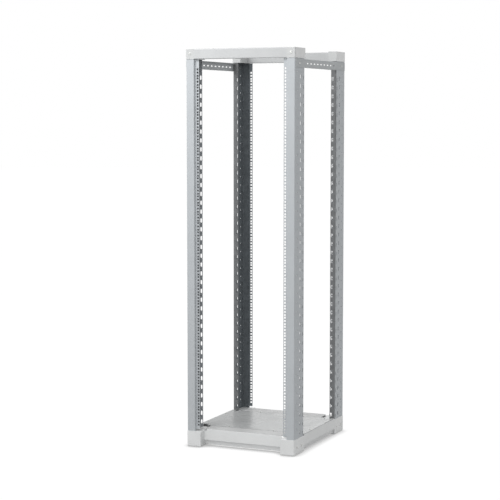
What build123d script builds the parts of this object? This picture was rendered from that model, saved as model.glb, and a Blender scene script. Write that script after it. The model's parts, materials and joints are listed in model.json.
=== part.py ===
"""Open four-post 19 inch rack: folded steel uprights, cast corner blocks, a tubular top frame,
a plinth with a floor plate, and four levelling feet. Millimetres, +Z up, front towards -Y.
The origin is on the ground under the middle of the rack."""

from build123d import *
import os

# Overall size, over the corner blocks
WIDTH = 580.0
DEPTH = 680.0
HEIGHT = 1976.0

# 19 inch pattern: each rack unit holds three square holes
UNIT = 44.45
UNITS = 40
HOLE_SIZE = 9.5
HOLE_SPAN = 465.0
HOLES_IN_UNIT = (6.35, 22.225, 38.1)
PATTERN_BOTTOM = 105.0
BAY_WIDTH = 450.0
FLANGE_SPACING = 650.0

# Sheet metal, and the radius of the middle of a bend
SHEET = 2.0
BEND = 3.0
TIGHT_BEND = 2.4

# Uprights: folded posts that stand just inside the faces of the corner blocks
INSET = 2.0
POST_FACE = 42.0
POST_DEPTH = 122.0
POST_LIP = 28.0
FLANGE_CLEAR = 10.0
WIDE_SLOT = (22.0, 10.0)
LIP_SLOT = (22.0, 9.0)
LIP_ROW = 20.5
NARROW_SLOT = (20.0, 6.0)
NARROW_SLOT_DROP = 7.5
ROUND_HOLE = 3.5
ROUND_ROW = 36.0
WIDE_ROW = 76.0
NARROW_ROW = 110.0

# Corner blocks, top and bottom
BLOCK_LENGTH = 128.0
BLOCK_WALL = 4.0
BLOCK_RADIUS = 6.0
POCKET_RADIUS = 3.5
CAP_WIDTH = 44.0
CAP_HEIGHT = 50.0
EDGE = 1.5
TONGUE = 30.0
TONGUE_GAP = 0.5
SCREW_BOSS_HALF = 8.0
SCREW_BOSS_DEPTH = 12.0
THREAD_DEPTH = 16.0
BASE_WIDTH = 75.0
BASE_TOP = 80.0
BASE_BOTTOM = 2.0
BASE_PLATE = 8.0
BASE_LEDGE = 14.0
BASE_RIM = 8.0
SLOT_GAP = 0.2

# Top frame
BEAM_DEPTH = 30.0
RAIL_HEIGHT = 42.0
RAIL_FLANGE = 16.0
RAIL_SLOT = (22.0, 6.0)
RAIL_SLOTS_EACH_WAY = 4
SEAM = 3.0

# Plinth
FLOOR_TOP = 87.0
PLINTH_SETBACK = 43.0
PLINTH_BOTTOM = 8.0
TOE_TOP = 31.0
TOE_SLOPE = 3.0
TOE_STEP = 10.0
TOE_FLANGE = 24.0
SHELF_EDGE = 186.0
SHELF_STEP = 209.5
FLOOR_SIDE = 289.5
FLOOR_END = 207.5
SIDE_FLANGE = 20.0
NOTCH = (28.0, 28.0)
TAB = (32.0, 78.0)
END_TAB_REACH = 24.0
SIDE_TAB_REACH = 12.0
DECK_NOTCH = (12.0, 14.0)
BEARER_Y = 100.0
BEARER_END = 268.0
BEARER_HALF = 20.0
BEARER_FOOT = 15.0
BEARER_DEPTH = 30.0
BEARER_LAP = 6.0

# Levelling feet: studs that turn in the base blocks, each on a pad with a soft sole
STUD_RADIUS = 5.0
BOSS_RADIUS = 13.0
BOSS_BOTTOM = 18.0
STUD_TOP = 62.0
HEX_FLATS = 14.0
HEX_HEIGHT = 6.0
JOURNAL_RADIUS = 4.0
JOURNAL_BOTTOM = 4.0
PAD_RADIUS = 26.0
PAD_TOP = 8.0
HUB_RADIUS = 12.0
HUB_TOP = 10.0
SOCKET_BOTTOM = 3.5
SOLE_RADIUS = 24.0
SOLE_TOP = 2.0
THRUST_GAP = 0.3

# Fasteners
M6 = 3.0
CLEARANCE = 3.3
THREAD_GAP = 0.05
HEAD_RADIUS = 5.5
HEAD_HEIGHT = 2.4
HEAD_ROUND = 0.9
SOCKET_FLATS = 4.0
SOCKET_DEPTH = 1.4
NUT_FLATS = 10.0
NUT_HEIGHT = 5.0
NUT_PLATE_EDGE = (12.0, 8.0)
FRAME_SCREW = 14.0
BASE_SCREW = 12.0
FLOOR_SCREW = 10.0
SHELF_SCREW = 8.0
EYEBOLT = 5.1
EYEBOLT_BOSS = 11.0
EYEBOLT_BOSS_DEPTH = 18.0
CUT = 1.0

# Places at the corner towards +X and +Y, worked out from the sizes above
SIDE = WIDTH / 2
END = DEPTH / 2
BLOCK_END = END - BLOCK_LENGTH
POST_SIDE = SIDE - INSET
POST_END = END - INSET
POST_REAR = POST_END - POST_DEPTH
POST_INNER = POST_SIDE - POST_FACE
FLANGE_END = FLANGE_SPACING / 2
BAY_SIDE = BAY_WIDTH / 2
CAP_INNER = SIDE - CAP_WIDTH
CAP_BOTTOM = HEIGHT - CAP_HEIGHT
POST_TOP = HEIGHT - BLOCK_WALL - INSET
BASE_INNER = SIDE - BASE_WIDTH
RAIL_TOP = CAP_BOTTOM - SEAM
RAIL_BOTTOM = RAIL_TOP - RAIL_HEIGHT
RAIL_MIDDLE = (RAIL_TOP + RAIL_BOTTOM) / 2
PLINTH_END = END - PLINTH_SETBACK
FLOOR_BOTTOM = FLOOR_TOP - SHEET
FOOT_X = (SIDE + BASE_INNER) / 2
FOOT_Y = (END + BLOCK_END) / 2

# Screw places
CAP_SCREW_X = SIDE - 22.0
CAP_SCREW_Z = HEIGHT - 24.0
BEAM_SCREW_X = CAP_INNER - 10.0
BEAM_SCREW_Z = HEIGHT - 20.0
BEAM_INNER = END - BEAM_DEPTH
RAIL_SCREW_Y = END - 55.0
EYEBOLT_Y = END - 50.0
BASE_SCREWS_Y = (END - 37.0, END - 93.0)
BASE_SCREW_Z = 38.5
TAB_SCREWS_Z = (38.0, 56.0)
END_TAB_SCREW_Y = END - 54.0
SIDE_TAB_SCREW_X = SIDE - 34.0
FLOOR_SCREW_X = SIDE - 10.0
SHELF_SCREW_X = 120.0
SHELF_SCREW_Y = 197.0

SIDES = (("left", -1), ("right", 1))
ENDS = (("front", -1), ("rear", 1))


def span(x, y, z):
    """A block between two X, two Y and two Z values."""
    size = [abs(high - low) for low, high in (x, y, z)]
    middle = [(high + low) / 2 for low, high in (x, y, z)]
    return Pos(*middle) * Box(*size)


def bar(start, direction, radius, length):
    """A round bar from a point along a direction."""
    return Plane(start, z_dir=direction) * extrude(Circle(radius), length)


def hexagon(start, direction, flats, length):
    """A hexagonal bar from a point along a direction, measured across its flats."""
    outline = RegularPolygon(flats / 2, 6, major_radius=False)
    return Plane(start, z_dir=direction) * extrude(outline, length)


def slot(centre, along, through, size, depth):
    """A round-ended slot cutter, centred in the sheet that it goes through."""
    return Plane(centre, x_dir=along, z_dir=through) * extrude(SlotOverall(*size), depth, both=True)


def folded(points, plane, length, bend=BEND, thickness=SHEET):
    """Sheet metal bent along a line of points that runs in the middle of its thickness."""
    line = FilletPolyline(*points, radius=bend)
    return plane * extrude(trace(line, line_width=thickness), length)


def screw(seat, inward, length):
    """A button head screw: its head stands on the seat, and its shank goes in."""
    outward = tuple(-value for value in inward)
    head = extrude(Circle(HEAD_RADIUS), HEAD_HEIGHT)
    head = fillet(head.edges().sort_by(Axis.Z)[-1], HEAD_ROUND)
    head -= Pos(0, 0, HEAD_HEIGHT - SOCKET_DEPTH) * extrude(
        RegularPolygon(SOCKET_FLATS / 2, 6, major_radius=False), SOCKET_DEPTH
    )
    return Plane(seat, z_dir=outward) * head + bar(seat, inward, M6, length)


def placed(shape, x_sign, y_sign):
    """A shape made for the corner towards +X and +Y, mirrored to another corner."""
    if x_sign < 0:
        shape = mirror(shape, Plane.YZ)
    if y_sign < 0:
        shape = mirror(shape, Plane.XZ)
    return shape


def write(name, *shapes):
    """One node: a single solid, or identical fasteners as a group of separate solids."""
    export_step(shapes[0] if len(shapes) == 1 else Compound(children=list(shapes)), f"parts/{name}.step")


def write_corners(name, shape):
    """The shape at all four corners, a node each."""
    for end, y_sign in ENDS:
        for side, x_sign in SIDES:
            write(f"{name}_{end}_{side}", placed(shape, x_sign, y_sign))


def write_group(name, *shapes):
    """The shapes at all four corners, all in one node."""
    corners = [(x_sign, y_sign) for _, x_sign in SIDES for _, y_sign in ENDS]
    write(name, *[placed(shape, *signs) for shape in shapes for signs in corners])


def rack_units():
    """The height of the bottom of each rack unit."""
    return [PATTERN_BOTTOM + index * UNIT for index in range(UNITS)]


def upright():
    """A folded post: outer face, slotted side wall and lip, and a return with the 19 inch flange."""
    half = SHEET / 2
    outline = (
        (BAY_SIDE, FLANGE_END - half),
        (POST_INNER + half, FLANGE_END - half),
        (POST_INNER + half, POST_END - half),
        (POST_SIDE - half, POST_END - half),
        (POST_SIDE - half, POST_REAR + half),
        (POST_SIDE - POST_LIP, POST_REAR + half),
    )
    post = folded(outline, Plane.XY.offset(BASE_LEDGE), POST_TOP - BASE_LEDGE)

    bay = (BAY_SIDE - CUT, CAP_INNER + BLOCK_WALL + INSET)
    return_wall = (BAY_SIDE - CUT, POST_INNER + 2 * SHEET)
    flange_zone = FLANGE_END - 2 * BEND
    cuts = [
        span(bay, (flange_zone, END), (CAP_BOTTOM - CUT, HEIGHT)),
        span(return_wall, (flange_zone, FLANGE_END + BEND), (0, BASE_TOP + FLANGE_CLEAR)),
        bar((CAP_SCREW_X, END, CAP_SCREW_Z), (0, -1, 0), CLEARANCE, 3 * SHEET),
        bar((SIDE, RAIL_SCREW_Y, RAIL_MIDDLE), (-1, 0, 0), CLEARANCE, 3 * SHEET),
    ]
    for y in BASE_SCREWS_Y:
        cuts.append(bar((SIDE, y, BASE_SCREW_Z), (-1, 0, 0), CLEARANCE, 3 * SHEET))
    for bottom in rack_units():
        for height in HOLES_IN_UNIT:
            hole = Box(HOLE_SIZE, 3 * SHEET, HOLE_SIZE)
            cuts.append(Pos(HOLE_SPAN / 2, FLANGE_END - half, bottom + height) * hole)
        wide = (POST_SIDE - half, END - WIDE_ROW, bottom)
        narrow = (POST_SIDE - half, END - NARROW_ROW, bottom - NARROW_SLOT_DROP)
        lip = (POST_SIDE - LIP_ROW, POST_REAR + half, bottom)
        staggered = (SIDE, END - ROUND_ROW, bottom + UNIT / 2)
        cuts.append(slot(wide, (0, 0, 1), (1, 0, 0), WIDE_SLOT, SHEET))
        cuts.append(slot(narrow, (0, 0, 1), (1, 0, 0), NARROW_SLOT, SHEET))
        cuts.append(slot(lip, (0, 0, 1), (0, 1, 0), LIP_SLOT, SHEET))
        cuts.append(bar(staggered, (-1, 0, 0), ROUND_HOLE, 3 * SHEET))
    return post - cuts


def block(inner, bottom, top):
    """A cast corner block before it is hollowed, with its outer vertical edge well rounded."""
    body = span((inner, SIDE), (BLOCK_END, END), (bottom, top))
    outer = body.edges().filter_by(Axis.Z).group_by(Axis.X)[-1].sort_by(Axis.Y)[-1]
    body = fillet(outer, BLOCK_RADIUS)
    return fillet(body.faces().sort_by(Axis.Z)[-1].edges(), EDGE)


def post_pocket(inner, bottom, top):
    """The space inside a block that the end of a post fills."""
    space = span((inner, POST_SIDE), (BLOCK_END + BLOCK_WALL, POST_END), (bottom, top))
    outer = space.edges().filter_by(Axis.Z).group_by(Axis.X)[-1].sort_by(Axis.Y)[-1]
    return fillet(outer, POCKET_RADIUS)


def top_corner():
    """A cap over the head of a post, with a tongue that the top beam slides over."""
    body = block(CAP_INNER, CAP_BOTTOM, HEIGHT)
    body -= post_pocket(CAP_INNER + BLOCK_WALL, CAP_BOTTOM - CUT, HEIGHT - BLOCK_WALL)
    ceiling = HEIGHT - BLOCK_WALL
    body += span(
        (CAP_SCREW_X - SCREW_BOSS_HALF, CAP_SCREW_X + SCREW_BOSS_HALF),
        (POST_END - SHEET - SCREW_BOSS_DEPTH, POST_END - SHEET),
        (CAP_SCREW_Z - SCREW_BOSS_HALF, ceiling),
    )
    body += bar((CAP_SCREW_X, EYEBOLT_Y, ceiling), (0, 0, -1), EYEBOLT_BOSS, EYEBOLT_BOSS_DEPTH)
    gap = SHEET + TONGUE_GAP
    tongue = span(
        (CAP_INNER - TONGUE, CAP_INNER),
        (BEAM_INNER + gap, END - gap),
        (CAP_BOTTOM + gap, HEIGHT - gap),
    )
    body += chamfer(tongue.edges().filter_by(Axis.X), SHEET)
    thread = M6 + THREAD_GAP
    return body - [
        bar((CAP_SCREW_X, EYEBOLT_Y, HEIGHT), (0, 0, -1), EYEBOLT, 2 * BLOCK_WALL + EYEBOLT_BOSS_DEPTH),
        bar((CAP_SCREW_X, END, CAP_SCREW_Z), (0, -1, 0), CLEARANCE, INSET),
        bar((CAP_SCREW_X, POST_END, CAP_SCREW_Z), (0, -1, 0), thread, THREAD_DEPTH),
        bar((BEAM_SCREW_X, BEAM_INNER, BEAM_SCREW_Z), (0, 1, 0), thread, SHEET + THREAD_DEPTH),
    ]


def top_beam():
    """The rear top beam: a tube between the two caps, screwed to their tongues from inside."""
    tube = RectangleRounded(BEAM_DEPTH, CAP_HEIGHT, BEND + SHEET / 2)
    tube -= RectangleRounded(BEAM_DEPTH - 2 * SHEET, CAP_HEIGHT - 2 * SHEET, BEND - SHEET / 2)
    start = (-CAP_INNER, END - BEAM_DEPTH / 2, (HEIGHT + CAP_BOTTOM) / 2)
    beam = Plane(start, x_dir=(0, 1, 0), z_dir=(1, 0, 0)) * extrude(tube, 2 * CAP_INNER)
    for x in (-BEAM_SCREW_X, BEAM_SCREW_X):
        beam -= bar((x, BEAM_INNER - CUT, BEAM_SCREW_Z), (0, 1, 0), CLEARANCE, SHEET + 2 * CUT)
    return beam


def top_rail():
    """The right top rail: a slotted channel whose web laps over both posts."""
    half = SHEET / 2
    channel = (
        (SIDE - RAIL_FLANGE, RAIL_TOP - half),
        (SIDE - half, RAIL_TOP - half),
        (SIDE - half, RAIL_BOTTOM + half),
        (SIDE - RAIL_FLANGE, RAIL_BOTTOM + half),
    )
    reach = BLOCK_END - SHEET
    rail = folded(channel, Plane.XZ.offset(-reach), 2 * reach)
    for sign in (-1, 1):
        lap = (sign * reach, sign * (END - BLOCK_RADIUS))
        rail += span((SIDE - SHEET, SIDE), lap, (RAIL_BOTTOM, RAIL_TOP))
        rail -= bar((SIDE + CUT, sign * RAIL_SCREW_Y, RAIL_MIDDLE), (-1, 0, 0), CLEARANCE, 4 * CUT)
    for index in range(-RAIL_SLOTS_EACH_WAY, RAIL_SLOTS_EACH_WAY + 1):
        centre = (SIDE - half, index * UNIT, RAIL_MIDDLE)
        rail -= slot(centre, (0, 1, 0), (1, 0, 0), RAIL_SLOT, SHEET)
    return rail


def base_corner():
    """A hollow block that a post stands in, with a boss for the levelling stud."""
    body = block(BASE_INNER, BASE_BOTTOM, BASE_TOP)
    body = fillet(body.faces().sort_by(Axis.Z)[0].edges(), BLOCK_RADIUS - CUT)
    ceiling = BASE_TOP - BASE_PLATE
    body -= post_pocket(BASE_INNER + BLOCK_WALL, BASE_LEDGE, ceiling)
    body -= span(
        (BASE_INNER + BASE_RIM, SIDE - BASE_RIM),
        (BLOCK_END + BASE_RIM, END - BASE_RIM),
        (0, BASE_LEDGE),
    )
    body += bar((FOOT_X, FOOT_Y, BOSS_BOTTOM), (0, 0, 1), BOSS_RADIUS, ceiling - BOSS_BOTTOM)
    body += span(
        (BASE_INNER + BLOCK_WALL, FOOT_X),
        (FOOT_Y - BEND, FOOT_Y + BEND),
        (BOSS_BOTTOM + BOSS_RADIUS, ceiling),
    )
    half = SHEET / 2
    sleeve = (
        (POST_INNER + half, FLANGE_END + SHEET),
        (POST_INNER + half, POST_END - half),
        (POST_SIDE - half, POST_END - half),
        (POST_SIDE - half, POST_REAR + half),
        (POST_SIDE - POST_LIP - SLOT_GAP, POST_REAR + half),
    )
    body -= folded(sleeve, Plane.XY.offset(ceiling), BASE_PLATE, thickness=SHEET + 2 * SLOT_GAP)
    thread = M6 + THREAD_GAP
    bore = STUD_RADIUS + THREAD_GAP
    cuts = [bar((FOOT_X, FOOT_Y, BOSS_BOTTOM), (0, 0, 1), bore, ceiling - BOSS_BOTTOM)]
    for y in BASE_SCREWS_Y:
        cuts.append(bar((SIDE, y, BASE_SCREW_Z), (-1, 0, 0), CLEARANCE, INSET))
    for z in TAB_SCREWS_Z:
        cuts.append(bar((BASE_INNER, END_TAB_SCREW_Y, z), (1, 0, 0), thread, BLOCK_WALL))
        cuts.append(bar((SIDE_TAB_SCREW_X, BLOCK_END, z), (0, 1, 0), thread, BLOCK_WALL))
    return body - cuts


def base_end_beam():
    """The rear plinth beam: a shelf that the floor plate rests on, a deck, a face and a toe."""
    half = SHEET / 2
    outline = (
        (SHELF_EDGE, FLOOR_BOTTOM - half),
        (SHELF_STEP, FLOOR_BOTTOM - half),
        (SHELF_STEP + SHEET, FLOOR_TOP - half),
        (PLINTH_END - half, FLOOR_TOP - half),
        (PLINTH_END - half, TOE_TOP),
        (PLINTH_END - half - TOE_STEP, TOE_TOP - TOE_SLOPE),
        (PLINTH_END - half - TOE_STEP, PLINTH_BOTTOM + half),
        (PLINTH_END - TOE_STEP - TOE_FLANGE, PLINTH_BOTTOM + half),
    )
    beam = folded(outline, Plane.YZ.offset(-BASE_INNER), 2 * BASE_INNER, bend=TIGHT_BEND)
    thread = M6 + THREAD_GAP
    for sign in (-1, 1):
        tab = (sign * (BASE_INNER - SHEET), sign * BASE_INNER)
        beam += span(tab, (END_TAB_SCREW_Y - END_TAB_REACH, PLINTH_END - half), TAB)
        notch_x = (sign * (BASE_INNER - DECK_NOTCH[0]), sign * (BASE_INNER + CUT))
        notch_y = (PLINTH_END - DECK_NOTCH[1], PLINTH_END + CUT)
        beam -= span(notch_x, notch_y, (TAB[1] + CUT, FLOOR_TOP + CUT))
        for z in TAB_SCREWS_Z:
            beam -= bar((sign * SHELF_EDGE, END_TAB_SCREW_Y, z), (sign, 0, 0), CLEARANCE, BASE_WIDTH)
        beam -= bar((sign * SHELF_SCREW_X, SHELF_SCREW_Y, FLOOR_TOP), (0, 0, -1), thread, 3 * SHEET)
    return beam


def base_side_beam():
    """The right plinth beam, flush with the corner blocks, under the edge of the floor plate."""
    half = SHEET / 2
    outline = (
        (SIDE - SIDE_FLANGE, FLOOR_BOTTOM - half),
        (SIDE - half, FLOOR_BOTTOM - half),
        (SIDE - half, TOE_TOP),
        (SIDE - half - TOE_STEP, TOE_TOP - TOE_SLOPE),
        (SIDE - half - TOE_STEP, PLINTH_BOTTOM + half),
        (SIDE - TOE_STEP - TOE_FLANGE, PLINTH_BOTTOM + half),
    )
    beam = folded(outline, Plane.XZ.offset(-BLOCK_END), 2 * BLOCK_END, bend=TIGHT_BEND)
    for sign in (-1, 1):
        tab = (sign * (BLOCK_END - SHEET), sign * BLOCK_END)
        beam += span((SIDE_TAB_SCREW_X - SIDE_TAB_REACH, SIDE - half), tab, TAB)
        for z in TAB_SCREWS_Z:
            start = (SIDE_TAB_SCREW_X, sign * SHELF_EDGE, z)
            beam -= bar(start, (0, sign, 0), CLEARANCE, BASE_WIDTH)
        beam -= bar((FLOOR_SCREW_X, sign * BEARER_Y, FLOOR_TOP), (0, 0, -1), CLEARANCE, 3 * SHEET)
    return beam


def floor_plate():
    """A flat plate over the plinth, with a cable notch behind each post."""
    plate = span((-FLOOR_SIDE, FLOOR_SIDE), (-FLOOR_END, FLOOR_END), (FLOOR_BOTTOM, FLOOR_TOP))
    notch_x = (SIDE - SIDE_FLANGE - NOTCH[0], SIDE - SIDE_FLANGE)
    notch = span(notch_x, (FLOOR_END - NOTCH[1], END), (FLOOR_BOTTOM - CUT, FLOOR_TOP + CUT))
    notch = fillet(notch.edges().filter_by(Axis.Z), BEND)
    side_hole = bar((FLOOR_SCREW_X, BEARER_Y, FLOOR_TOP), (0, 0, -1), CLEARANCE, SHEET)
    shelf_hole = bar((SHELF_SCREW_X, SHELF_SCREW_Y, FLOOR_TOP), (0, 0, -1), CLEARANCE, SHEET)
    cuts = [notch, side_hole, shelf_hole]
    corners = [(x_sign, y_sign) for _, x_sign in SIDES for _, y_sign in ENDS]
    return plate - [placed(cut, *signs) for cut in cuts for signs in corners]


def floor_bearer():
    """The rear bearer: a hat section under the floor plate, hung from the side beams by end tabs."""
    half = SHEET / 2
    top = FLOOR_BOTTOM - half
    side = (
        (BEARER_HALF, top),
        (BEARER_HALF + BEND, top - BEARER_DEPTH),
        (BEARER_HALF + BEND + BEARER_FOOT, top - BEARER_DEPTH),
    )
    outline = [(-y, z) for y, z in reversed(side)] + list(side)
    bearer = folded(outline, Plane.YZ.offset(-BEARER_END), 2 * BEARER_END)
    shelf = FLOOR_BOTTOM - SHEET
    for sign in (-1, 1):
        tab = (sign * (BEARER_END - BEARER_LAP), sign * (SIDE - SHEET - BEND))
        reach = BEARER_HALF - 2 * BEND
        bearer += span(tab, (-reach, reach), (shelf - SHEET, shelf))
        bearer -= bar((sign * FLOOR_SCREW_X, 0, FLOOR_TOP), (0, 0, -1), M6 + THREAD_GAP, BEARER_FOOT)
    return Pos(0, BEARER_Y, 0) * bearer


def foot_pad():
    """The disc under a levelling stud, with a blind socket for the stud's journal."""
    pad = bar((FOOT_X, FOOT_Y, SOLE_TOP), (0, 0, 1), PAD_RADIUS, PAD_TOP - SOLE_TOP)
    pad = fillet(pad.edges().sort_by(Axis.Z)[-1], SHEET)
    pad += bar((FOOT_X, FOOT_Y, PAD_TOP), (0, 0, 1), HUB_RADIUS, HUB_TOP - PAD_TOP)
    socket = JOURNAL_RADIUS + THREAD_GAP
    return pad - bar((FOOT_X, FOOT_Y, SOCKET_BOTTOM), (0, 0, 1), socket, HUB_TOP - SOCKET_BOTTOM)


def foot_sole():
    """The soft disc that the pad stands on."""
    return bar((FOOT_X, FOOT_Y, 0), (0, 0, 1), SOLE_RADIUS, SOLE_TOP)


def foot_stud():
    """A threaded stud with a spanner hexagon, turning on a journal in the pad."""
    hex_bottom = HUB_TOP + THRUST_GAP
    hex_top = hex_bottom + HEX_HEIGHT
    stud = bar((FOOT_X, FOOT_Y, JOURNAL_BOTTOM), (0, 0, 1), JOURNAL_RADIUS, hex_bottom - JOURNAL_BOTTOM)
    stud += hexagon((FOOT_X, FOOT_Y, hex_bottom), (0, 0, 1), HEX_FLATS, HEX_HEIGHT)
    thread = bar((FOOT_X, FOOT_Y, hex_top), (0, 0, 1), STUD_RADIUS, STUD_TOP - hex_top)
    return stud + chamfer(thread.edges().sort_by(Axis.Z)[-1], CUT)


def rail_nut():
    """A hexagon nut inside the post, on the screw that holds the top rail."""
    inner = POST_SIDE - SHEET
    nut = hexagon((inner, RAIL_SCREW_Y, RAIL_MIDDLE), (-1, 0, 0), NUT_FLATS, NUT_HEIGHT)
    return nut - bar((inner, RAIL_SCREW_Y, RAIL_MIDDLE), (-1, 0, 0), M6 + THREAD_GAP, NUT_HEIGHT)


def nut_plate():
    """A tapped plate inside the foot of the post, behind the screws of the base block."""
    inner = POST_SIDE - SHEET
    edge_y, edge_z = NUT_PLATE_EDGE
    plate = span(
        (inner - NUT_HEIGHT, inner),
        (min(BASE_SCREWS_Y) - edge_y, max(BASE_SCREWS_Y) + edge_y),
        (BASE_SCREW_Z - edge_z, BASE_SCREW_Z + edge_z),
    )
    holes = [bar((inner, y, BASE_SCREW_Z), (-1, 0, 0), M6 + THREAD_GAP, NUT_HEIGHT) for y in BASE_SCREWS_Y]
    return plate - holes


def write_parts():
    write_corners("upright", upright())
    write_corners("top_corner", top_corner())
    write_corners("base_corner", base_corner())
    for end, y_sign in ENDS:
        write(f"top_beam_{end}", placed(top_beam(), 1, y_sign))
        write(f"base_beam_{end}", placed(base_end_beam(), 1, y_sign))
        write(f"floor_bearer_{end}", placed(floor_bearer(), 1, y_sign))
    for side, x_sign in SIDES:
        write(f"top_rail_{side}", placed(top_rail(), x_sign, 1))
        write(f"base_beam_{side}", placed(base_side_beam(), x_sign, 1))
    write("floor_plate", floor_plate())
    write_corners("foot_pad", foot_pad())
    write_corners("foot_sole", foot_sole())
    write_corners("foot_stud", foot_stud())


def write_fasteners():
    cap_seat = (CAP_SCREW_X, END, CAP_SCREW_Z)
    beam_seat = (BEAM_SCREW_X, BEAM_INNER, BEAM_SCREW_Z)
    rail_seat = (SIDE, RAIL_SCREW_Y, RAIL_MIDDLE)
    write_group("top_corner_screws", screw(cap_seat, (0, -1, 0), FRAME_SCREW))
    write_group("top_beam_screws", screw(beam_seat, (0, 1, 0), FRAME_SCREW))
    write_group("top_rail_screws", screw(rail_seat, (-1, 0, 0), FRAME_SCREW))
    write_group("top_rail_nuts", rail_nut())

    post_screws = [screw((SIDE, y, BASE_SCREW_Z), (-1, 0, 0), BASE_SCREW) for y in BASE_SCREWS_Y]
    write_group("base_corner_screws", *post_screws)
    write_corners("nut_plate", nut_plate())

    tab_screws = []
    for z in TAB_SCREWS_Z:
        tab_screws.append(screw((BASE_INNER - SHEET, END_TAB_SCREW_Y, z), (1, 0, 0), BASE_SCREW))
        tab_screws.append(screw((SIDE_TAB_SCREW_X, BLOCK_END - SHEET, z), (0, 1, 0), BASE_SCREW))
    write_group("base_beam_screws", *tab_screws)

    side_screw = screw((FLOOR_SCREW_X, BEARER_Y, FLOOR_TOP), (0, 0, -1), FLOOR_SCREW)
    shelf_screw = screw((SHELF_SCREW_X, SHELF_SCREW_Y, FLOOR_TOP), (0, 0, -1), SHELF_SCREW)
    write_group("floor_screws", side_screw, shelf_screw)


os.makedirs("parts", exist_ok=True)
write_parts()
write_fasteners()
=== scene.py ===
"""The looks of the open four-post rack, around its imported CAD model.
Metres, +Z up, the front towards -Y, the origin on the ground under the middle of the rack."""

import json
import math

import bmesh
import bpy
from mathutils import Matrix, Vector


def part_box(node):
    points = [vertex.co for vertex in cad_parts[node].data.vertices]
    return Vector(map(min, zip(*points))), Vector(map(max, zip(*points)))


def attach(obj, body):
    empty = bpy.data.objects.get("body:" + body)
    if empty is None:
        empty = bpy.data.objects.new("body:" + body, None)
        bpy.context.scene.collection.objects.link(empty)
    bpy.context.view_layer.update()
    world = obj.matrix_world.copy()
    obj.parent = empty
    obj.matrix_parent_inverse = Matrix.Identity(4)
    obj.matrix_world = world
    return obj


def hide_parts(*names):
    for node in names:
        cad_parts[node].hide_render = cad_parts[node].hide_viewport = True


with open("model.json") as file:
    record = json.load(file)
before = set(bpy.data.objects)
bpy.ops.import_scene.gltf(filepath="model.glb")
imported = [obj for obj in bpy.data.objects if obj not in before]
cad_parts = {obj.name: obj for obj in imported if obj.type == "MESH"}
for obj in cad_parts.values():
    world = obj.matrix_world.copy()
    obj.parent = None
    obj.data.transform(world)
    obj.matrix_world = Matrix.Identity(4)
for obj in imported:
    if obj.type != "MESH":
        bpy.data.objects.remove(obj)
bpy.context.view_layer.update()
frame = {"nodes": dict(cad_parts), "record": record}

MM = 0.001
CORNERS = ("front_left", "front_right", "rear_left", "rear_right")

# Camera: the point it looks at, its direction from there, its distance and its lens
AIM = Vector((-0.096, 0.0, 0.967))
AZIMUTH = math.radians(23.94)
ELEVATION = math.radians(5.14)
DISTANCE = 7.648
LENS = 107.75

# Paints, as linear red, green and blue
POST_GREY = (0.505, 0.53, 0.55)
RAIL_GREY = (0.47, 0.49, 0.50)
BEAM_GREY = (0.505, 0.515, 0.52)
CAP_GREY = (0.50, 0.51, 0.51)
BLOCK_GREY = (0.75, 0.76, 0.76)
PLINTH_GREY = (0.79, 0.80, 0.80)
FLOOR_GREY = (0.44, 0.45, 0.45)
PRIMER = (0.42, 0.43, 0.43)
DECK_SHADE_GREY = (0.53, 0.535, 0.535)  # the tops of the plinth, painted darker than its sides as painted shade
FRONT_FOLD_SHADE = (0.29, 0.305, 0.315)  # painted shade inside the front posts
REAR_FOLD_SHADE = (0.185, 0.205, 0.22)  # painted shade inside the rear posts
# painted shade on both faces of the rear posts' lips
REAR_LIP_SHADE = (0.185, 0.19, 0.195)

# Bare materials
ZINC = (0.62, 0.63, 0.62)
DULL_ZINC = (0.50, 0.50, 0.47)
BRIGHT_ZINC = (0.78, 0.78, 0.77)
STEEL_GREY = (0.50, 0.515, 0.53)
PLASTIC_GREY = (0.045, 0.046, 0.05)
PLASTIC_DUST = (0.11, 0.11, 0.112)
PLASTIC_EDGE = (0.16, 0.16, 0.165)
RUBBER_BLACK = (0.02, 0.02, 0.021)
RUBBER_BLOOM = (0.06, 0.06, 0.06)

# Edges: between the rounded normal and the flat one, on the edge itself and where it ends
EDGE_COSINE = 0.80
FLAT_COSINE = 0.985

# Coats
SMOOTH_PEEL = 0.02 * MM
LACQUER_ROUGHNESS = 0.25
EDGE_WEAR = 0.55
# Painted shade inside the posts: its clouds, grain and patch size
SHADE_CLOUDS = 0.12
SHADE_GRAIN = 0.08
SHADE_PATCH = 30 * MM

# Folded posts: where the paint passes into the painted shade of their insides and lips
SHEET = 2.0 * MM
FOLD_START = (4 * MM, 9 * MM)  # how far a face looks in towards the post's middle
LIP_START = (SHEET + 0.2 * MM, SHEET + 1.2 * MM)  # from the outer face of the lip
LIP_END = (12 * MM, 16 * MM)  # from the side wall along the lip

# Colour sockets of a Mix node, which share their names with its other sockets
MIX_FIRST = 6
MIX_SECOND = 7
MIX_RESULT = 2

# Stage
GROUND_RADIUS = 40.0
GROUND_SEEN = (0.05, 0.05, 0.05)
GROUND_GLOW = 0.97
# Painted contact shadow: the floor's glow near the rack, and how far it reaches
PAINTED_SHADOW_GLOW = 0.45
CONTACT_REACH = 0.05
GROUND_LIGHTING = (0.45, 0.45, 0.45)
WORLD_SOFT = 0.72
WORLD_SEEN = 1.0
WHITE = (1.0, 1.0, 1.0, 1.0)

# Levelling studs, with a real thread
THREAD_PITCH = 1.5 * MM
THREAD_CREST = 5.0 * MM
THREAD_ROOT = 4.15 * MM
THREAD_STEEPNESS = 1.25  # over 1 leaves a flat on the crest
RINGS_IN_TURN = 8
HEX_FLATS = 14.0 * MM
HEX_HEIGHT = 6.0 * MM
HEX_GAP = 0.3 * MM
STUD_BEVEL = 0.8 * MM
JOURNAL = 4.0 * MM
STUD_SIDES = 48


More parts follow.
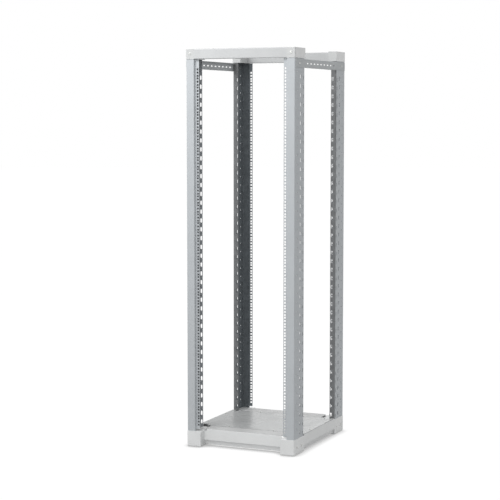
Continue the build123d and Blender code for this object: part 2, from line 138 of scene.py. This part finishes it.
class Finish:
    """A material's node tree, with short calls for what the finishes have in common.
    Place is a point of the surface in metres, and flat its normal before any relief."""

    def __init__(self, name):
        self.material = bpy.data.materials.new(name)
        self.material.use_nodes = True
        self.tree = self.material.node_tree
        self.shader = self.tree.nodes["Principled BSDF"]
        self.place = self.add("ShaderNodeTexCoord").outputs["Object"]
        self.flat = self.add("ShaderNodeNewGeometry").outputs["True Normal"]

    def add(self, kind, **settings):
        """A new node with these settings."""
        node = self.tree.nodes.new(kind)
        for name, value in settings.items():
            setattr(node, name, value)
        return node

    def feed(self, socket, value):
        """Links an output to an input, or sets the input to a plain value."""
        if isinstance(value, bpy.types.NodeSocket):
            self.tree.links.new(value, socket)
        else:
            socket.default_value = value

    def math(self, operation, first, second=0.0, clamp=False):
        """One step of arithmetic."""
        node = self.add("ShaderNodeMath", operation=operation, use_clamp=clamp)
        self.feed(node.inputs[0], first)
        self.feed(node.inputs[1], second)
        return node.outputs[0]

    def noise(self, size, detail=2.0, roughness=0.5, stretch=(1, 1, 1)):
        """Noise whose features are about this size in metres."""
        mapping = self.add("ShaderNodeMapping")
        self.feed(mapping.inputs["Vector"], self.place)
        mapping.inputs["Scale"].default_value = [1 / (size * share) for share in stretch]
        node = self.add("ShaderNodeTexNoise")
        self.feed(node.inputs["Vector"], mapping.outputs[0])
        node.inputs["Scale"].default_value = 1.0
        node.inputs["Detail"].default_value = detail
        node.inputs["Roughness"].default_value = roughness
        return node.outputs["Fac"]

    def cells(self, size):
        """Voronoi cells about this size, each with its own grey."""
        node = self.add("ShaderNodeTexVoronoi")
        self.feed(node.inputs["Vector"], self.place)
        node.inputs["Scale"].default_value = 1 / size
        grey = self.add("ShaderNodeSeparateColor")
        self.feed(grey.inputs[0], node.outputs["Color"])
        return grey.outputs[0]

    def spread(self, value, low, high, start=0.3, end=0.7):
        """The value from start to end, as low to high."""
        node = self.add("ShaderNodeMapRange")
        self.feed(node.inputs["Value"], value)
        for name, number in (("From Min", start), ("From Max", end), ("To Min", low), ("To Max", high)):
            node.inputs[name].default_value = number
        return node.outputs["Result"]

    def mix(self, share, first, second):
        """Between two colours."""
        node = self.add("ShaderNodeMix", data_type="RGBA")
        self.feed(node.inputs["Factor"], share)
        for socket, value in ((MIX_FIRST, first), (MIX_SECOND, second)):
            if isinstance(value, tuple):
                value = (*value, 1.0)
            self.feed(node.inputs[socket], value)
        return node.outputs[MIX_RESULT]

    def scaled(self, colour, factor):
        """A colour times a grey value."""
        node = self.add("ShaderNodeVectorMath", operation="SCALE")
        self.feed(node.inputs[0], colour)
        self.feed(node.inputs["Scale"], factor)
        return node.outputs[0]

    def round_edges(self, radius):
        """Normals that turn smoothly over an edge, and a mask that is 1 on the edge."""
        bevel = self.add("ShaderNodeBevel", samples=4)
        bevel.inputs["Radius"].default_value = radius
        likeness = self.vector("DOT_PRODUCT", bevel.outputs[0], self.flat, "Value")
        return bevel.outputs[0], self.spread(likeness, 1.0, 0.0, EDGE_COSINE, FLAT_COSINE)

    def vector(self, operation, first, second=None, output=0):
        """One step of vector arithmetic."""
        node = self.add("ShaderNodeVectorMath", operation=operation)
        self.feed(node.inputs[0], first)
        if second is not None:
            self.feed(node.inputs[1], second)
        return node.outputs[output]

    def split(self, vector):
        """The x, y and z of a vector."""
        node = self.add("ShaderNodeSeparateXYZ")
        self.feed(node.inputs[0], vector)
        return node.outputs

    def bump(self, height, depth, normal=None):
        """Height, from 0 to 1, as relief of this depth in metres."""
        node = self.add("ShaderNodeBump")
        node.inputs["Strength"].default_value = 1.0
        node.inputs["Distance"].default_value = depth
        self.feed(node.inputs["Height"], height)
        if normal is not None:
            self.feed(node.inputs["Normal"], normal)
        return node.outputs[0]

    def done(self, colour, roughness, normal, metallic=0.0):
        """Feeds the shader."""
        self.feed(self.shader.inputs["Base Color"], colour)
        self.feed(self.shader.inputs["Roughness"], roughness)
        self.feed(self.shader.inputs["Normal"], normal)
        self.feed(self.shader.inputs["Metallic"], metallic)
        return self.material


def tone(finish, colour, broad, fine, size=0.12):
    """A paint colour with soft broad clouds and a fine grain."""
    clouds = finish.spread(finish.noise(size, 3), 1 - broad, 1 + broad)
    grain = finish.spread(finish.noise(0.7 * MM, 1), 1 - fine, 1 + fine)
    return finish.scaled(finish.scaled(colour, clouds), grain)


def powder_coat(name, colour, gloss, peel, shine=0.5, broad=0.02, fine=0.03, lacquer=0.0, painted_shade=None):
    """Baked powder coat: orange peel, faint clouds, wiped patches, and paint drawn thin over the edges.
    Gloss is its roughness, peel the relief's depth, shine the specular level and lacquer the weight of a
    clear coat. The last argument, if given, paints shade into the colour: darker insides of the posts,
    darker tops of the plinth."""
    f = Finish(name)
    f.shader.inputs["Coat Weight"].default_value = lacquer
    f.shader.inputs["Coat Roughness"].default_value = LACQUER_ROUGHNESS
    f.shader.inputs["Specular IOR Level"].default_value = shine
    normal, edge = f.round_edges(0.6 * MM)
    paint = tone(f, colour, broad, fine)
    scuff = f.spread(f.noise(9 * MM, 4, 0.65), 0.0, 1.0, 0.52, 0.68)
    rubbed = f.math("MULTIPLY", edge, scuff)
    paint = f.mix(f.math("MULTIPLY", rubbed, EDGE_WEAR), paint, PRIMER)
    wiped = f.noise(70 * MM, 4, 0.6, (1, 1, 2.5))
    roughness = f.spread(wiped, gloss - 0.05, gloss + 0.06)
    # Painted shade, where given, goes over the paint
    if painted_shade is not None:
        paint = painted_shade(f, paint)
    relief = f.math("ADD", f.noise(1.6 * MM, 2), f.math("MULTIPLY", f.noise(0.5 * MM, 1), 0.35))
    return f.done(paint, roughness, f.bump(relief, peel, normal))


def patchy_shade(f, colour):
    """Painted shade: a colour that is cloudier and patchier than a full coat."""
    return tone(f, colour, SHADE_CLOUDS, SHADE_GRAIN, SHADE_PATCH)


def painted_post_shade(f, paint):
    """The inside of a folded post is painted darker and patchy, as painted shade. At the rear both
    faces of the lip get the painted shade too. At the front the inside of the lip stays light at its
    free end.
    All four posts are worked out as the rear right one, with place and normal mirrored."""
    low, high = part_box("upright_rear_right")
    middle = ((low.x + high.x) / 2, (low.y + high.y) / 2, 0.0)
    mirrored = f.vector("ABSOLUTE", f.place)
    facing = f.vector("MULTIPLY", f.flat, f.vector("SIGN", f.place))
    inward = f.vector("SUBTRACT", middle, mirrored)
    looks_in = f.vector("DOT_PRODUCT", inward, facing, "Value")
    inside = f.spread(looks_in, 0.0, 1.0, FOLD_START[0], FOLD_START[1])
    here = f.split(mirrored)
    lip = f.spread(here["Y"], 1.0, 0.0, low.y + LIP_START[0], low.y + LIP_START[1])
    free_end = f.spread(here["X"], 1.0, 0.0, high.x - LIP_END[1], high.x - LIP_END[0])
    front_shade_mask = f.math("SUBTRACT", inside, f.math("MULTIPLY", lip, free_end), clamp=True)
    # Painted shade: darker inside the front posts, and inside and on the lips of the rear posts
    front = f.mix(front_shade_mask, paint, patchy_shade(f, FRONT_FOLD_SHADE))
    rear_shade_mask = f.math("MAXIMUM", inside, lip)
    rear = f.mix(rear_shade_mask, paint, patchy_shade(f, f.mix(lip, REAR_FOLD_SHADE, REAR_LIP_SHADE)))
    return f.mix(f.math("GREATER_THAN", f.split(f.place)["Y"], 0.0), front, rear)


def painted_deck_shade(f, paint):
    """The tops of the plinth are painted darker than its sides, as painted shade."""
    top = f.spread(f.split(f.flat)["Z"], 0.0, 1.0, 0.6, 0.9)
    return f.mix(top, paint, tone(f, DECK_SHADE_GREY, 0.04, 0.03, 0.05))


def galvanised():
    """Hot-dip zinc: spangles with their own tone and shine."""
    f = Finish("galvanised_steel")
    normal, edge = f.round_edges(0.5 * MM)
    grey = f.cells(11 * MM)
    base = f.scaled(STEEL_GREY, f.spread(grey, 0.82, 1.12, 0.0, 1.0))
    base = f.mix(f.math("MULTIPLY", edge, 0.4), base, ZINC)
    roughness = f.spread(grey, 0.34, 0.56, 0.0, 1.0)
    return f.done(base, roughness, f.bump(f.noise(2.5 * MM, 3), 0.03 * MM, normal), 0.85)


def zinc_plate():
    """Bright zinc plating on small hardware, a little dulled in patches."""
    f = Finish("zinc_fasteners")
    normal, edge = f.round_edges(0.25 * MM)
    dull = f.noise(3 * MM, 4, 0.6)
    base = f.mix(f.spread(dull, 0.0, 0.7), ZINC, DULL_ZINC)
    base = f.mix(f.math("MULTIPLY", edge, 0.5), base, BRIGHT_ZINC)
    roughness = f.spread(dull, 0.26, 0.48)
    return f.done(base, roughness, f.bump(f.noise(0.4 * MM, 2), 0.012 * MM, normal), 1.0)


def moulded_plastic():
    """Spark-eroded dark plastic, with a dusting of grey."""
    f = Finish("foot_plastic")
    normal, edge = f.round_edges(0.5 * MM)
    dust = f.spread(f.noise(14 * MM, 4, 0.6), 0.0, 0.35)
    base = f.mix(dust, PLASTIC_GREY, PLASTIC_DUST)
    base = f.mix(f.math("MULTIPLY", edge, 0.3), base, PLASTIC_EDGE)
    roughness = f.spread(dust, 0.48, 0.62, 0.0, 0.35)
    return f.done(base, roughness, f.bump(f.noise(0.45 * MM, 1), 0.03 * MM, normal))


def rubber():
    """Matt black rubber with a faint bloom."""
    f = Finish("foot_rubber")
    normal, _ = f.round_edges(0.4 * MM)
    bloom = f.spread(f.noise(8 * MM, 5, 0.65), 0.0, 0.4)
    base = f.mix(bloom, RUBBER_BLACK, RUBBER_BLOOM)
    roughness = f.spread(bloom, 0.72, 0.9, 0.0, 0.4)
    return f.done(base, roughness, f.bump(f.noise(0.6 * MM, 3), 0.04 * MM, normal))


def finishes():
    """One material for each slot of the record."""
    smooth = {"peel": SMOOTH_PEEL, "shine": 0.15}
    cast = {"broad": 0.035, "fine": 0.06}
    return {
        "post_paint": powder_coat("post_paint", POST_GREY, 0.46, painted_shade=painted_post_shade, **smooth),
        "rail_paint": powder_coat("rail_paint", RAIL_GREY, 0.46, **smooth),
        "plinth_paint": powder_coat("plinth_paint", PLINTH_GREY, 0.46, painted_shade=painted_deck_shade, **smooth),
        "beam_paint": powder_coat("beam_paint", BEAM_GREY, 0.40, SMOOTH_PEEL),
        "cap_paint": powder_coat("cap_paint", CAP_GREY, 0.34, 0.05 * MM, shine=0.8, lacquer=1.0, **cast),
        "block_paint": powder_coat("block_paint", BLOCK_GREY, 0.42, 0.06 * MM, shine=0.6, **cast),
        "floor_paint": powder_coat("floor_paint", FLOOR_GREY, 0.28, 0.004 * MM, shine=0.04, fine=0.02),
        "galvanised_steel": galvanised(),
        "zinc_fasteners": zinc_plate(),
        "foot_plastic": moulded_plastic(),
        "foot_rubber": rubber(),
    }


def ring(mesh, centre, height, radius_at, count):
    """Vertices round a vertical axis at a height, at a radius that may depend on the angle."""
    made = []
    for index in range(count):
        angle = 2 * math.pi * index / count
        radius = radius_at(angle)
        x, y = centre.x + radius * math.cos(angle), centre.y + radius * math.sin(angle)
        made.append(mesh.verts.new((x, y, height)))
    return made


def lathe(mesh, centre, levels, count):
    """A closed skin through rings at rising heights, given as (height, radius function)."""
    rings = [ring(mesh, centre, height, radius_at, count) for height, radius_at in levels]
    for lower, upper in zip(rings, rings[1:]):
        for index in range(count):
            after = (index + 1) % count
            mesh.faces.new((lower[index], lower[after], upper[after], upper[index]))
    mesh.faces.new(list(reversed(rings[0])))
    mesh.faces.new(rings[-1])


def hexagon_radius(flats):
    """The radius of a hexagon, measured across its flats, at each angle."""
    sector = math.pi / 3
    return lambda angle: flats / 2 / math.cos((angle + sector / 2) % sector - sector / 2)


def thread_levels(bottom, top):
    """Rings of a right-hand thread that fades in at its lower end and out at its chamfered top."""
    depth = THREAD_CREST - THREAD_ROOT
    levels = []
    for index in range(int((top - bottom) / THREAD_PITCH * RINGS_IN_TURN) + 1):
        height = bottom + index * THREAD_PITCH / RINGS_IN_TURN
        fade = min(1.0, (height - bottom) / THREAD_PITCH, (top - height) / THREAD_PITCH)

        def radius_at(angle, height=height, fade=fade):
            phase = (height / THREAD_PITCH - angle / (2 * math.pi)) % 1.0
            rise = min(1.0, THREAD_STEEPNESS * (1 - abs(2 * phase - 1)))
            return THREAD_ROOT + depth * fade * rise

        levels.append((height, radius_at))
    return levels


def threaded_stud(corner, material):
    """The levelling stud at a corner, with its journal, spanner hexagon and rolled thread."""
    node = f"foot_stud_{corner}"
    low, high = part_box(node)
    centre = (low + high) / 2
    hub_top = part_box(f"foot_pad_{corner}")[1].z
    hex_bottom = hub_top + HEX_GAP
    hex_top = hex_bottom + HEX_HEIGHT
    flats, rounded = hexagon_radius(HEX_FLATS), HEX_FLATS / 2
    mesh = bmesh.new()
    journal = [
        (low.z, lambda angle: JOURNAL - STUD_BEVEL / 2),
        (low.z + STUD_BEVEL / 2, lambda angle: JOURNAL),
        (hex_bottom, lambda angle: JOURNAL),
    ]
    hexagon = [
        (hex_bottom, lambda angle: rounded),
        (hex_bottom + STUD_BEVEL, flats),
        (hex_top - STUD_BEVEL, flats),
        (hex_top, lambda angle: rounded),
    ]
    for levels in (journal, hexagon, thread_levels(hex_top, high.z)):
        lathe(mesh, centre, levels, STUD_SIDES)
    data = bpy.data.meshes.new(f"threaded_stud_{corner}")
    mesh.to_mesh(data)
    mesh.free()
    data.materials.append(material)
    stud = bpy.data.objects.new(f"threaded_stud_{corner}", data)
    bpy.context.scene.collection.objects.link(stud)
    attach(stud, f"stud_{corner}")
    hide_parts(node)


def dress(materials):
    """Gives each CAD node the material of its slot."""
    for part in frame["record"]["subparts"]:
        node = frame["nodes"][part["node"]]
        node.data.materials.clear()
        node.data.materials.append(materials[part["material_slot"]])


def seen_or_lighting(tree, seen, lighting):
    """One shader for what is seen, directly or in gloss, and another for the soft light it sends out.
    The rack is lit more softly than a background as white as this would light it."""
    ray = tree.nodes.new("ShaderNodeLightPath")
    either = tree.nodes.new("ShaderNodeMixShader")
    tree.links.new(ray.outputs["Is Diffuse Ray"], either.inputs["Fac"])
    tree.links.new(seen, either.inputs[1])
    tree.links.new(lighting, either.inputs[2])
    return either.outputs[0]


def ground():
    """A plain white floor, wide enough that its edge is out of sight, with soft contact shadows painted
    into its glow.
    """
    mesh = bmesh.new()
    bmesh.ops.create_circle(mesh, cap_ends=True, radius=GROUND_RADIUS, segments=96)
    data = bpy.data.meshes.new("ground")
    mesh.to_mesh(data)
    mesh.free()
    f = Finish("ground")
    grain = f.spread(f.noise(0.5, 3), 0.99, 1.01)
    f.done(f.scaled(GROUND_SEEN, grain), 0.9, f.bump(f.noise(4 * MM, 2), 0.05 * MM))
    f.shader.inputs["Specular IOR Level"].default_value = 0.0
    glow = f.add("ShaderNodeEmission")
    # Painted contact shadow: the glow dims where ambient occlusion finds the rack close
    contact = f.add("ShaderNodeAmbientOcclusion", samples=8)
    contact.inputs["Distance"].default_value = CONTACT_REACH
    strength = f.spread(contact.outputs["AO"], PAINTED_SHADOW_GLOW, GROUND_GLOW, 0.3, 0.9)
    f.feed(glow.inputs["Strength"], strength)
    seen = f.add("ShaderNodeAddShader")
    f.feed(seen.inputs[0], f.shader.outputs[0])
    f.feed(seen.inputs[1], glow.outputs[0])
    dull = f.add("ShaderNodeBsdfDiffuse")
    dull.inputs["Color"].default_value = (*GROUND_LIGHTING, 1.0)
    surface = seen_or_lighting(f.tree, seen.outputs[0], dull.outputs[0])
    f.feed(f.tree.nodes["Material Output"].inputs["Surface"], surface)
    data.materials.append(f.material)
    plane = bpy.data.objects.new("ground", data)
    bpy.context.scene.collection.objects.link(plane)


def softbox(name, place, aim, size, power, shine=1.0):
    """A soft square light that points from its place to an aim. Shine is its share in reflections."""
    data = bpy.data.lights.new(name, "AREA")
    data.shape = "SQUARE"
    data.size = size
    data.energy = power
    data.specular_factor = shine
    light = bpy.data.objects.new(name, data)
    light.location = place
    light.rotation_euler = (Vector(aim) - Vector(place)).to_track_quat("-Z", "Y").to_euler()
    light.visible_camera = False
    bpy.context.scene.collection.objects.link(light)


def studio():
    """A white studio: a key from above the front left, a weaker front light, and light from behind."""
    softbox("key", (-0.8, -1.7, 3.0), (0, -0.3, 1.6), 1.3, 33)
    softbox("front", (0.2, -4.6, 1.3), (0, 0, 0.8), 2.0, 24)
    softbox("back", (-0.6, 4.5, 1.6), (0, 0, 1.0), 3.0, 29, shine=0.0)
    world = bpy.data.worlds.new("studio")
    bpy.context.scene.world = world
    world.use_nodes = True
    tree = world.node_tree
    seen = tree.nodes["Background"]
    seen.inputs["Color"].default_value = WHITE
    seen.inputs["Strength"].default_value = WORLD_SEEN
    soft = tree.nodes.new("ShaderNodeBackground")
    soft.inputs["Color"].default_value = WHITE
    soft.inputs["Strength"].default_value = WORLD_SOFT
    surface = seen_or_lighting(tree, seen.outputs[0], soft.outputs[0])
    tree.links.new(surface, tree.nodes["World Output"].inputs["Surface"])


def camera():
    """The camera, upright and unshifted. Azimuth is measured from the front towards the right."""
    level = math.cos(ELEVATION)
    back = Vector((math.sin(AZIMUTH) * level, -math.cos(AZIMUTH) * level, math.sin(ELEVATION)))
    data = bpy.data.cameras.new("camera")
    data.lens = LENS
    made = bpy.data.objects.new("camera", data)
    made.location = AIM + back * DISTANCE
    made.rotation_euler = (-back).to_track_quat("-Z", "Y").to_euler()
    bpy.context.scene.collection.objects.link(made)
    bpy.context.scene.camera = made
    bpy.context.scene.view_settings.view_transform = "Standard"


materials = finishes()
dress(materials)
for corner in CORNERS:
    threaded_stud(corner, materials["zinc_fasteners"])
ground()
studio()
camera()
